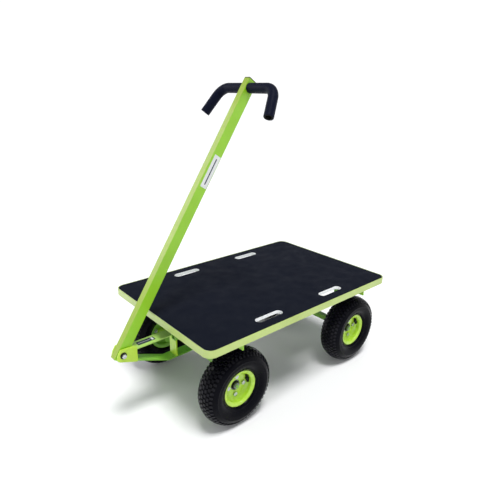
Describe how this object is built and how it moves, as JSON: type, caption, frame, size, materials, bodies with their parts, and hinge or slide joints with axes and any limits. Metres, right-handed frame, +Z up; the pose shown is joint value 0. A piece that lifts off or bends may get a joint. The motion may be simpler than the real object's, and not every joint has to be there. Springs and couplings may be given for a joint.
{
  "type": "platform trolley",
  "caption": "Flat platform trolley on pneumatic wheels, with a steering turntable at the front and a tall tilting drawbar whose drooping handle ends carry foam grips.",
  "frame": {"origin": "on the ground under the middle of the overall length and width", "axes": "+X forwards to the drawbar, +Y to the left, +Z up"},
  "size_m": [1.0006, 0.57, 1.0461],
  "materials": {
    "frame_paint": "gloss lime green paint",
    "axle_paint": "lime green paint, dulled under the deck",
    "rim_paint": "gloss lime green paint",
    "handle_paint": "black paint",
    "deck_film": "dark phenolic film with a fine mesh",
    "tyre_rubber": "black tyre rubber",
    "tube_rubber": "black butyl rubber",
    "zinc_hardware": "bright zinc",
    "turntable_steel": "oiled steel",
    "bearing_steel": "ground steel",
    "foam_grip": "matt black foam rubber",
    "end_cap": "black plastic",
    "bush_plastic": "pale nylon",
    "tag_plate": "dark blue film",
    "blank_label": "white film"
  },
  "bodies": {
    "chassis": {"deck_frame": "frame_paint", "deck_board": "deck_film", "rail_left": "frame_paint", "rail_right": "frame_paint", "outriggers": "frame_paint", "board_screws": "zinc_hardware", "turntable_top_plate": "frame_paint", "turntable_upper_race": "turntable_steel", "kingpin": "zinc_hardware", "rear_axle": "axle_paint", "rear_axle_brackets": "frame_paint", "rear_wheel_nuts": "zinc_hardware"},
    "steering": {"turntable_lower_plate": "frame_paint", "turntable_lower_race": "turntable_steel", "turntable_balls": "bearing_steel", "upper_strap": "frame_paint", "lower_strap": "frame_paint", "yoke_post": "frame_paint", "fork_bracket": "frame_paint", "front_axle_beam": "frame_paint", "drop_legs": "frame_paint", "stub_axles": "axle_paint", "front_wheel_nuts": "zinc_hardware", "pivot_bolt": "zinc_hardware", "yoke_tag": "tag_plate"},
    "drawbar": {"drawbar_tube": "frame_paint", "drawbar_cap": "end_cap", "pivot_bush": "bush_plastic", "handle_bar": "handle_paint", "grip_left": "foam_grip", "grip_right": "foam_grip", "drawbar_label": "blank_label"},
    "front_left_wheel": {"front_left_tyre": "tyre_rubber", "front_left_inner_tube": "tube_rubber", "front_left_rim_outer": "rim_paint", "front_left_rim_inner": "rim_paint", "front_left_hub_tube": "rim_paint", "front_left_bearings": "bearing_steel", "front_left_rim_bolts": "zinc_hardware"},
    "front_right_wheel": {"front_right_tyre": "tyre_rubber", "front_right_inner_tube": "tube_rubber", "front_right_rim_outer": "rim_paint", "front_right_rim_inner": "rim_paint", "front_right_hub_tube": "rim_paint", "front_right_bearings": "bearing_steel", "front_right_rim_bolts": "zinc_hardware"},
    "rear_left_wheel": {"rear_left_tyre": "tyre_rubber", "rear_left_inner_tube": "tube_rubber", "rear_left_rim_outer": "rim_paint", "rear_left_rim_inner": "rim_paint", "rear_left_hub_tube": "rim_paint", "rear_left_bearings": "bearing_steel", "rear_left_rim_bolts": "zinc_hardware"},
    "rear_right_wheel": {"rear_right_tyre": "tyre_rubber", "rear_right_inner_tube": "tube_rubber", "rear_right_rim_outer": "rim_paint", "rear_right_rim_inner": "rim_paint", "rear_right_hub_tube": "rim_paint", "rear_right_bearings": "bearing_steel", "rear_right_rim_bolts": "zinc_hardware"}
  },
  "joints": [
    {"name": "steering_turn", "type": "hinge", "parent": "chassis", "child": "steering", "pos_m": [0.20465, 0, 0.271], "axis": [0, 0, 1], "range_deg": [-35, 35]},
    {"name": "drawbar_tilt", "type": "hinge", "parent": "steering", "child": "drawbar", "pos_m": [0.47365, 0, 0.247], "axis": [0, 1, 0], "range_deg": [0, 135]},
    {"name": "front_left_spin", "type": "hinge", "parent": "steering", "child": "front_left_wheel", "pos_m": [0.20465, 0.222, 0.13], "axis": [0, 1, 0], "continuous": true},
    {"name": "front_right_spin", "type": "hinge", "parent": "steering", "child": "front_right_wheel", "pos_m": [0.20465, -0.222, 0.13], "axis": [0, 1, 0], "continuous": true},
    {"name": "rear_left_spin", "type": "hinge", "parent": "chassis", "child": "rear_left_wheel", "pos_m": [-0.36635, 0.222, 0.13], "axis": [0, 1, 0], "continuous": true},
    {"name": "rear_right_spin", "type": "hinge", "parent": "chassis", "child": "rear_right_wheel", "pos_m": [-0.36635, -0.222, 0.13], "axis": [0, 1, 0], "continuous": true}
  ]
}
